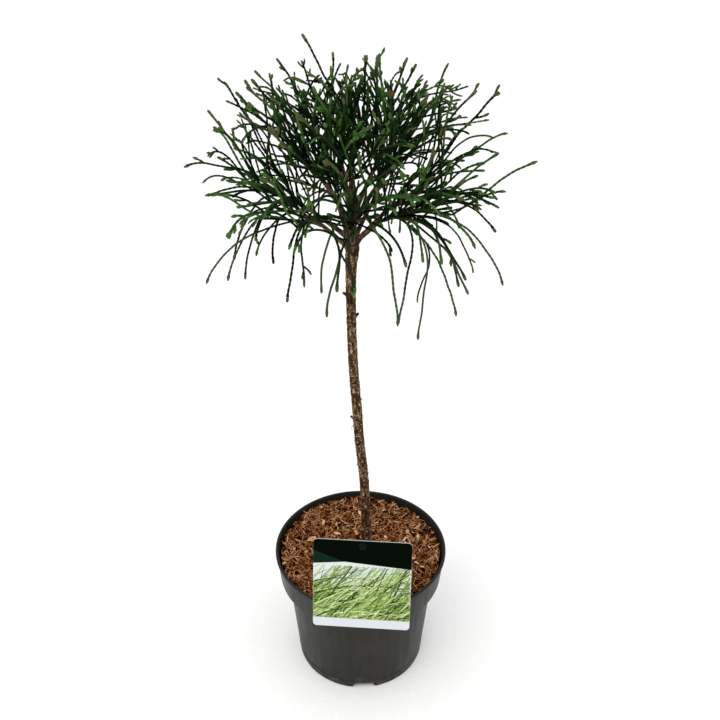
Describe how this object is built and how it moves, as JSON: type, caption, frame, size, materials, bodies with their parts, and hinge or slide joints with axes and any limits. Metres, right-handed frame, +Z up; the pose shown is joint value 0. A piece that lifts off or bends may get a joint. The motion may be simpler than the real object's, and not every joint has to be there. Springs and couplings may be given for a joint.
{
  "type": "potted thuja",
  "caption": "Small grafted thuja on a bare stem, with slim cord-like foliage in an open arching crown, in a round tapering nursery pot topped with bark fibre, with a label card on its rim.",
  "frame": {"origin": "centre of the pot's flat underside, on the surface it stands on", "axes": "+Z up along the pot's axis and the stem; -Y towards the front, where the label card leans on the lip; +X to the right seen from the front"},
  "size_m": [0.3073, 0.2623, 0.697],
  "materials": {
    "pot": "satin moulded charcoal plastic",
    "potting_mix": "loose shredded bark fibre",
    "trunk_bark": "flaky brown bark",
    "bough_bark": "thin reddish bark",
    "foliage": "waxy dark green scale leaves",
    "label_card": "printed plastic card",
    "label_peg": "black plastic"
  },
  "bodies": {
    "root": {"pot": "pot", "potting_mix": "potting_mix", "trunk": "trunk_bark", "bough_skirt_1": "bough_bark", "bough_skirt_2": "bough_bark", "bough_skirt_3": "bough_bark", "bough_skirt_4": "bough_bark", "bough_skirt_5": "bough_bark", "bough_skirt_6": "bough_bark", "bough_skirt_7": "bough_bark", "bough_dome_1": "bough_bark", "bough_dome_2": "bough_bark", "bough_dome_3": "bough_bark", "bough_dome_4": "bough_bark", "bough_dome_5": "bough_bark", "foliage_skirt_1": "foliage", "foliage_skirt_2": "foliage", "foliage_skirt_3": "foliage", "foliage_skirt_4": "foliage", "foliage_skirt_5": "foliage", "foliage_skirt_6": "foliage", "foliage_skirt_7": "foliage", "foliage_dome_1": "foliage", "foliage_dome_2": "foliage", "foliage_dome_3": "foliage", "foliage_dome_4": "foliage", "foliage_dome_5": "foliage", "foliage_top": "foliage", "label": "label_card", "label_peg": "label_peg"}
  },
  "joints": []
}
